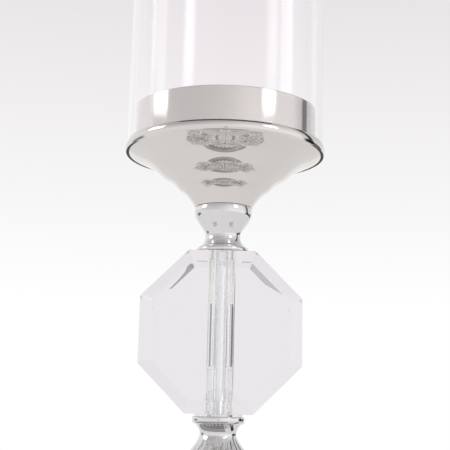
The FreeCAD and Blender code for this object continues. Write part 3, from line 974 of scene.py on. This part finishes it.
for place in ("cup", "base"):
    node = f"{place}_nut"
    fit(hexagon_nut(f"{place}_hexagon_nut", node), node, zinc)
    node = f"{place}_washer"
    fit(washer(f"{place}_steel_washer", node, ROD_HOLE, STEEL_ROUND), node, zinc)

# %% [markdown]
# ## Cast weight
# The iron disc in the foot can't be seen once the felt is on, and its solid has the right shape, so it
# stays as it is and only gets its finish.

# %% Cast weight
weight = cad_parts["base_weight"]
weight.material_slots[0].material = iron
print("cast weight keeps its solid:", len(weight.data.polygons), "faces")

# %% [markdown]
# ## Glass chimney
# The chimney is a plain tube, cut to length and held in a flame until its two rims melt round. It stands
# loose on the plate's ledge and lifts off, so it rides on a body of its own.

# %% Glass chimney
GLASS_WALL = 3.5 * MM

low, high, glass_radius = levels("glass_chimney")
glass_inside = glass_radius - GLASS_WALL
half_wall = GLASS_WALL / 2
tube = Outline(glass_radius - half_wall, low)
tube.quarter(glass_radius, low + half_wall, "level", runs=12)
tube.line(glass_radius, high - half_wall)
tube.quarter(glass_radius - half_wall, high, "upright", runs=12)
tube.quarter(glass_inside, high - half_wall, "level", runs=12)
tube.line(glass_inside, low + half_wall)
tube.quarter(glass_radius - half_wall, low, "upright", runs=12)
fit(turned("blown_cylinder", tube), "glass_chimney", blown_glass, body="chimney")

# %% [markdown]
# ## Light
# Polished metal and glass show the room more than themselves. The photograph was taken in a white tent
# that grows a little darker and pinker upwards. A picture of a room could be wrapped round the scene, but
# a tent that is written down can be changed by one angle at a time. So the world is that tent, in azimuth
# and elevation as seen from the object, with azimuth nought towards the camera and growing to the right.

# %% Tent world
WHITE = "#FFFFFF"
TENT_GREY = "#DAD4D6"
TENT_WHITE_BELOW = math.radians(6)
TENT_GREY_FROM = math.radians(35)

scene.world = bpy.data.worlds.new("white_tent")
sky = empty_tree(scene.world)
way = add(sky, "ShaderNodeTexCoord").outputs["Generated"]
split = add(sky, "ShaderNodeSeparateXYZ", {0: way}).outputs
towards_camera = add(sky, "ShaderNodeMath", {0: split["Y"], 1: -1.0}, operation="MULTIPLY").outputs[0]
azimuth = add(sky, "ShaderNodeMath", {0: split["X"], 1: towards_camera}, operation="ARCTAN2").outputs[0]
elevation = add(sky, "ShaderNodeMath", {0: split["Z"]}, operation="ARCSINE").outputs[0]
greyed = add(sky, "ShaderNodeMapRange", {
    "Value": elevation, "From Min": TENT_WHITE_BELOW, "From Max": TENT_GREY_FROM,
}).outputs["Result"]
tent = add(sky, "ShaderNodeMix", {
    "Factor": greyed, "A": linear(WHITE), "B": linear(TENT_GREY),
}, data_type="RGBA").outputs["Result"]
print("tent of", TENT_GREY, "above")

# %% [markdown]
# ## Panels and gaps
# A tent has bright panels, where lamps stand behind the cloth, and dark gaps, where its sheets part. They
# give the metal its light and dark bands: gaps at both sides and a seam high up behind, a panel on the
# left and one in front on the right. Each is a patch between two azimuths and two elevations, in degrees,
# with soft edges, which adds its strength to the tent's grey or takes it away. The bore gaps are kept
# apart, because they draw only the dark lines in the crystal's bore.

# %% Panels and gaps
SPOTS = (
    {"kind": "gap", "azimuth": (107, 117), "elevation": (-6, 60), "soft": (3, 3), "strength": -0.8},
    {"kind": "gap", "azimuth": (95, 113), "elevation": (-6, 45), "soft": (8, 3), "strength": -0.25},
    {"kind": "gap", "azimuth": (100, 142), "elevation": (-18, 5), "soft": (4, 2), "strength": -0.85},
    {"kind": "gap", "azimuth": (-128, -104), "elevation": (-16, 2), "soft": (4, 2), "strength": -0.7},
    {"kind": "gap", "azimuth": (60, 200), "elevation": (50, 80), "soft": (4, 4), "strength": -0.67},
    {"kind": "gap", "azimuth": (-200, -60), "elevation": (50, 80), "soft": (4, 4), "strength": -0.67},
    {"kind": "gap", "azimuth": (-75, -15), "elevation": (5, 45), "soft": (20, 5), "strength": -0.1},
    {"kind": "panel", "azimuth": (-98, -76), "elevation": (17.6, 32), "soft": (3, 0.6), "strength": 2.0},
    {"kind": "panel", "azimuth": (46, 61), "elevation": (17.8, 32), "soft": (4, 0.8), "strength": 2.0},
    {"kind": "panel", "azimuth": (-98, -88), "elevation": (20, 32), "soft": (3, 0.8), "strength": 0.7},
    {"kind": "panel", "azimuth": (49, 60), "elevation": (20, 32), "soft": (4, 0.8), "strength": 1.2},
    {"kind": "panel", "azimuth": (15, 110), "elevation": (-10, 45), "soft": (20, 20), "strength": 0.2},
    {"kind": "panel", "azimuth": (-175, -98), "elevation": (14, 45), "soft": (4, 2), "strength": 0.2},
    {"kind": "bore gap", "azimuth": (104, 150), "elevation": (-2, 10), "soft": (4, 2), "strength": -0.8},
    {"kind": "bore gap", "azimuth": (78, 92), "elevation": (-2, 10), "soft": (4, 2), "strength": -0.4},
    {"kind": "bore gap", "azimuth": (-112, -78), "elevation": (-2, 10), "soft": (4, 2), "strength": -0.6},
)

marks = {"gap": 0.0, "panel": 0.0, "bore gap": 0.0}
for spot in SPOTS:
    share = 1.0
    sides = (spot["azimuth"], spot["elevation"])
    for angle, (start, end), soft in zip((azimuth, elevation), sides, spot["soft"]):
        middle = math.radians((start + end) / 2)
        half = math.radians(end - start) / 2
        edge = math.radians(soft)
        off = add(sky, "ShaderNodeMath", {0: angle, 1: middle}, operation="SUBTRACT").outputs[0]
        away = add(sky, "ShaderNodeMath", {0: off}, operation="ABSOLUTE").outputs[0]
        within = add(sky, "ShaderNodeMapRange", {
            "Value": away, "From Min": half + edge, "From Max": half - edge,
        }, interpolation_type="SMOOTHSTEP").outputs["Result"]
        share = add(sky, "ShaderNodeMath", {0: within, 1: share}, operation="MULTIPLY").outputs[0]
    marks[spot["kind"]] = add(sky, "ShaderNodeMath", {
        0: share, 1: spot["strength"], 2: marks[spot["kind"]],
    }, operation="MULTIPLY_ADD").outputs[0]
print("panels and gaps:", len(SPOTS))

# %% [markdown]
# ## What each ray sees
# Panels and gaps model the metal, but they must not stand in the picture. So the world asks what a ray has
# met on its way. One that comes straight from the camera, also through the chimney, sees the plain tent.
# One that was mirrored sees panels and gaps, and the gaps are weaker for one that was mirrored twice,
# because mirrors in mirrors are pale in the photograph. The crystal bends its view low or far aside, where
# the cloth is plain white, and its image in a mirror is a touch greener.

# %% What each ray sees
TENT_THROUGH_CRYSTAL = "#EEEBEE"
CRYSTAL_MIRRORED = "#E8E9E3"
GAP_MIRRORED_AGAIN = 0.15
DARKEST = 0.03
# The crystal has two faces to cross and the chimney four, so 1.5 faces, give or take 1, mean crystal.
FACES_CROSSED = 1.5
FACES_SPAN = 1.0


def ray_marks(tree):
    """Light Path of a ray, and two marks: it has crossed one or two faces of glass, and it was mirrored."""
    path = add(tree, "ShaderNodeLightPath").outputs
    in_block = add(tree, "ShaderNodeMath", {
        0: path["Transmission Depth"], 1: FACES_CROSSED, 2: FACES_SPAN,
    }, operation="COMPARE").outputs[0]
    mirrored = add(tree, "ShaderNodeMath", {
        0: path["Glossy Depth"], 1: 0.5,
    }, operation="GREATER_THAN").outputs[0]
    return path, in_block, mirrored


path, in_block, mirrored = ray_marks(sky)
grey_level = add(sky, "ShaderNodeRGBToBW", {0: tent}).outputs[0]
panelled = add(sky, "ShaderNodeMath", {0: grey_level, 1: marks["panel"]}, operation="ADD").outputs[0]
gap_left = add(sky, "ShaderNodeMapRange", {
    "Value": path["Glossy Depth"], "From Min": 1.0, "From Max": 2.0, "To Min": 1.0,
    "To Max": GAP_MIRRORED_AGAIN,
}).outputs["Result"]
studio = add(sky, "ShaderNodeMath", {
    0: marks["gap"], 1: gap_left, 2: panelled,
}, operation="MULTIPLY_ADD").outputs[0]
lit_studio = add(sky, "ShaderNodeMath", {0: studio, 1: DARKEST}, operation="MAXIMUM").outputs[0]
around = add(sky, "ShaderNodeMix", {
    "Factor": mirrored, "A": tent, "B": lit_studio,
}, data_type="RGBA").outputs["Result"]
mirrored_again = add(sky, "ShaderNodeMath", {
    0: path["Glossy Depth"], 1: 1.5,
}, operation="GREATER_THAN").outputs[0]
block_tint = add(sky, "ShaderNodeMix", {
    "Factor": mirrored_again, "A": linear(TENT_THROUGH_CRYSTAL), "B": linear(CRYSTAL_MIRRORED),
}, data_type="RGBA").outputs["Result"]
shown = add(sky, "ShaderNodeMix", {
    "Factor": in_block, "A": around, "B": block_tint,
}, data_type="RGBA").outputs["Result"]
print("world so far:", len(sky.nodes), "nodes")

# %% Bore gaps and the end of the world's tree
crossed = add(sky, "ShaderNodeMath", {
    0: path["Transmission Depth"], 1: 0.5,
}, operation="GREATER_THAN").outputs[0]
turned_aside = add(sky, "ShaderNodeMath", {0: crossed, 1: mirrored}, operation="MULTIPLY").outputs[0]
kept = add(sky, "ShaderNodeMath", {
    0: turned_aside, 1: marks["bore gap"], 2: 1.0,
}, operation="MULTIPLY_ADD").outputs[0]
background = add(sky, "ShaderNodeBackground", {"Color": shown, "Strength": kept})
add(sky, "ShaderNodeOutputWorld", {"Surface": background.outputs[0]})
print("world:", scene.world.name, "with", len(sky.nodes), "nodes")

# %% [markdown]
# ## Soft lamp
# The tent lights everything evenly, so a large soft lamp at the upper left adds the shadow round the foot.
# Mirrors and glass don't see it. Light crosses many faces of glass before it comes out again, and a path
# that ends too early is a black spot, so the limits on bounces are high.

# %% Soft lamp and light paths
LAMP_PLACE = Vector((-0.6, -0.7, 1.5))
LAMP_AIM = Vector((0, 0, 0.2))
LAMP_SIZE = 0.9
LAMP_POWER = 12.0


def hide_from(thing, *rays):
    """Keep an object of the stage from being seen by some kinds of ray."""
    for ray in rays:
        setattr(thing, f"visible_{ray}", False)


lamp = new_object("soft_lamp", bpy.data.lights.new("soft_lamp", "AREA"))
lamp.data.size = LAMP_SIZE
lamp.data.energy = LAMP_POWER
lamp.location = LAMP_PLACE
lamp.rotation_euler = (LAMP_AIM - LAMP_PLACE).to_track_quat("-Z", "Y").to_euler()
hide_from(lamp, "camera", "glossy", "transmission")

scene.cycles.max_bounces = 32
scene.cycles.transmission_bounces = 32
scene.cycles.glossy_bounces = 24
print("lamp of", LAMP_POWER, "W")

# %% [markdown]
# ## Floor
# The holder stands on a plain pale table. The table is a disc that turns into the white of the tent
# towards its edge, so that no horizon shows, and it keeps the soft shadow round the foot. To mirrored rays
# and through the crystal it is lifted towards the white of the tent, because there the photograph shows no
# edge between table and tent.

# %% Floor
FLOOR_RADIUS = 1.6
FLOOR_FADE_FROM = 0.7
FLOOR_SEGMENTS = 128
FLOOR_COLOUR = "#EDECEA"
FLOOR_MIRRORED_WHITE = 0.75


def disc_mesh(name, radius, segments):
    """Flat round mesh at the origin."""
    mesh = bpy.data.meshes.new(name)
    shape = bmesh.new()
    bmesh.ops.create_circle(shape, cap_ends=True, segments=segments, radius=radius)
    shape.to_mesh(mesh)
    shape.free()
    return mesh


floor = new_object("floor", disc_mesh("floor", FLOOR_RADIUS, FLOOR_SEGMENTS))
pale, tree, shader = start_material("pale_table", Base_Color=linear(FLOOR_COLOUR), Roughness=0.7)
surface = shader.outputs["BSDF"].links[0].to_socket
place = add(tree, "ShaderNodeTexCoord").outputs["Object"]
from_middle = add(tree, "ShaderNodeVectorMath", {0: place}, operation="LENGTH").outputs["Value"]
fade = add(tree, "ShaderNodeMapRange", {
    "Value": from_middle, "From Min": FLOOR_FADE_FROM, "From Max": FLOOR_RADIUS,
}, interpolation_type="SMOOTHSTEP").outputs["Result"]
path, in_block, mirrored = ray_marks(tree)
block_tint = add(tree, "ShaderNodeMix", {
    "Factor": mirrored, "A": linear(TENT_THROUGH_CRYSTAL), "B": linear(CRYSTAL_MIRRORED),
}, data_type="RGBA").outputs["Result"]
tinted = add(tree, "ShaderNodeMix", {
    "Factor": in_block, "A": linear(WHITE), "B": block_tint,
}, data_type="RGBA").outputs["Result"]
white = add(tree, "ShaderNodeEmission", {"Color": tinted, "Strength": 1.0}).outputs[0]
lifted = add(tree, "ShaderNodeMath", {
    0: path["Is Glossy Ray"], 1: in_block,
}, operation="MAXIMUM").outputs[0]
whitened = add(tree, "ShaderNodeMath", {0: lifted, 1: FLOOR_MIRRORED_WHITE}, operation="MULTIPLY").outputs[0]
whiteness = add(tree, "ShaderNodeMath", {0: fade, 1: whitened}, operation="MAXIMUM").outputs[0]
mixed = add(tree, "ShaderNodeMixShader", {"Fac": whiteness, 1: shader.outputs["BSDF"], 2: white}).outputs[0]
tree.links.new(mixed, surface)
floor.data.materials.append(pale)
print("floor of radius", FLOOR_RADIUS, "m")

# %% [markdown]
# ## Grey cards
# Glass and mirrors against white have no edges of their own. Photographers lay dark cards where these
# look, and each card shows as a dark line or wedge. Here a card is a flat sheet that glows grey and is
# hidden from the camera. The bevels at the back of this crystal look down on the table behind it, so four
# small cards lie there, shown to rays that have crossed the crystal alone. The others are shown to
# mirrored rays alone. One lies far left and carries the tent's dark gap down on to the table. The other
# five are painted shade. Two lie further back and paint shade into the flat under the rim. Two lie round
# the foot and paint the shade of the table near it into the collar and the bell. A bowed strip hangs in
# front of the glass and paints the shadow gap at the top of the rim as its dark front line. Where only a
# near piece should see a card, its reach says how long a ray may be.

# %% Where the cards lie
# Size and reach of the painted shade strip for the rim's front line, and reach of the painted shade round
# the foot.
RIM_SHADE_RADII = (118, 155)
RIM_SHADE_SWEEP = 50
RIM_SHADE_REACH = (0.11, 0.14)
FOOT_SHADE_REACH = (0, 0.25)


def bowed_strip(radii, sweep, steps=16):
    """Corners of a flat strip bent round the holder's front, in mm."""
    angles = [math.radians(sweep * (2 * step / steps - 1)) for step in range(steps + 1)]
    inner = [(radii[0] * math.sin(angle), -radii[0] * math.cos(angle)) for angle in angles]
    outer = [(radii[1] * math.sin(angle), -radii[1] * math.cos(angle)) for angle in reversed(angles)]
    return inner + outer


# Corners and levels are in mm, reaches in m.
CARDS = {
    # Painted shade: seen only in near mirrors, this dark strip paints the shadow gap at the top of the rim
    # as a dark line.
    "rim_line_painted_shade_card": {
        "tone": 0.12, "mirrored": True, "reach": RIM_SHADE_REACH, "level": 385,
        "corners": bowed_strip(RIM_SHADE_RADII, RIM_SHADE_SWEEP),
    },
    "right_wedge_card": {
        "tone": 0.5, "corners": ((-170, 705), (-172, 730), (-312, 962), (-312, 842), (-225, 762)),
    },
    "left_wedge_card": {
        "tone": 0.34,
        "corners": ((206, 742), (240, 800), (268, 851), (290, 905), (335, 905), (300, 830), (240, 755)),
    },
    "right_dash_card": {"tone": 0.5, "corners": ((24, 583), (38, 583), (38, 612), (24, 612))},
    "left_dash_card": {"tone": 0.63, "corners": ((-33, 582), (-20, 582), (-20, 612), (-33, 612))},
    # Painted shade: these two dark sheets, seen only in mirrors, paint shade into the flat under the rim.
    "left_rim_painted_shade_card": {
        "tone": 0.1, "mirrored": True,
        "corners": ((-240, 950), (-110, 950), (-110, 1150), (-240, 1150)),
    },
    "right_rim_painted_shade_card": {
        "tone": 0.1, "mirrored": True,
        "corners": ((110, 950), (240, 950), (240, 1150), (110, 1150)),
    },
    "left_gap_card": {
        "tone": 0.25, "mirrored": True,
        "corners": ((-877, 202), (-1549, 358), (-1452, 647), (-1302, 912), (-737, 516)),
    },
    # Painted shade: these two dark sheets round the foot, seen only in near mirrors, paint the shade of the
    # table into the collar and the bell.
    "front_painted_shade_card": {
        "tone": 0.4, "mirrored": True, "reach": FOOT_SHADE_REACH,
        "corners": (
            (-61, 73), (-94, 16), (-82, -48), (-32, -89), (32, -89), (71, -64),
            (186, -167), (86, -235), (-86, -235), (-217, -125), (-246, 43), (-161, 192),
        ),
    },
    "right_painted_shade_card": {
        "tone": 0.06, "mirrored": True, "reach": FOOT_SHADE_REACH,
        "corners": ((100, 5), (230, 0), (220, 100), (90, 45)),
    },
}
print("cards:", len(CARDS))

# %% Grey cards
CARD_LEVEL = 1
ANY_REACH = (0, 10)
FACES_SEEN_THROUGH = 2.5

for name, card in CARDS.items():
    level = card.get("level", CARD_LEVEL)
    corners = [Vector((x, y, level)) * MM for x, y in card["corners"]]
    mesh = bpy.data.meshes.new(name)
    mesh.from_pydata(corners, [], [list(range(len(corners)))])
    sheet = new_object(name, mesh)
    hide_from(sheet, "camera", "diffuse", "shadow", "transmission" if "mirrored" in card else "glossy")
    grey = bpy.data.materials.new(name)
    tree = empty_tree(grey)
    path = add(tree, "ShaderNodeLightPath").outputs
    nearest, farthest = card.get("reach", ANY_REACH)
    in_reach = add(tree, "ShaderNodeMath", {
        0: path["Ray Length"], 1: (nearest + farthest) / 2, 2: (farthest - nearest) / 2,
    }, operation="COMPARE").outputs[0]
    shallow = add(tree, "ShaderNodeMath", {
        0: path["Transmission Depth"], 1: FACES_SEEN_THROUGH,
    }, operation="LESS_THAN").outputs[0]
    seen = add(tree, "ShaderNodeMath", {0: in_reach, 1: shallow}, operation="MULTIPLY").outputs[0]
    tone = add(tree, "ShaderNodeEmission", {"Strength": card["tone"]}).outputs[0]
    clear = add(tree, "ShaderNodeBsdfTransparent").outputs[0]
    mixed = add(tree, "ShaderNodeMixShader", {"Fac": seen, 1: clear, 2: tone}).outputs[0]
    add(tree, "ShaderNodeOutputMaterial", {"Surface": mixed})
    mesh.materials.append(grey)
print("grey cards:", ", ".join(CARDS))

# %% [markdown]
# ## Front of the camera
# A mirror that faces the camera shows it, and a camera is black. So a small black disc stands where the
# lens is. Only mirrored rays see it.

# %% Front of the camera
CAMERA_FRONT_RADIUS = 22 * MM
CAMERA_FRONT_SEGMENTS = 48
CAMERA_BLACK = "#101010"

mesh = disc_mesh("camera_front", CAMERA_FRONT_RADIUS, CAMERA_FRONT_SEGMENTS)
mesh.transform(camera.matrix_world)
camera_front = new_object("camera_front", mesh)
hide_from(camera_front, "camera", "diffuse", "shadow", "transmission")
black, tree, shader = start_material("camera_black", Base_Color=linear(CAMERA_BLACK), Roughness=0.6)
mesh.materials.append(black)
print("camera front of radius", CAMERA_FRONT_RADIUS, "m")
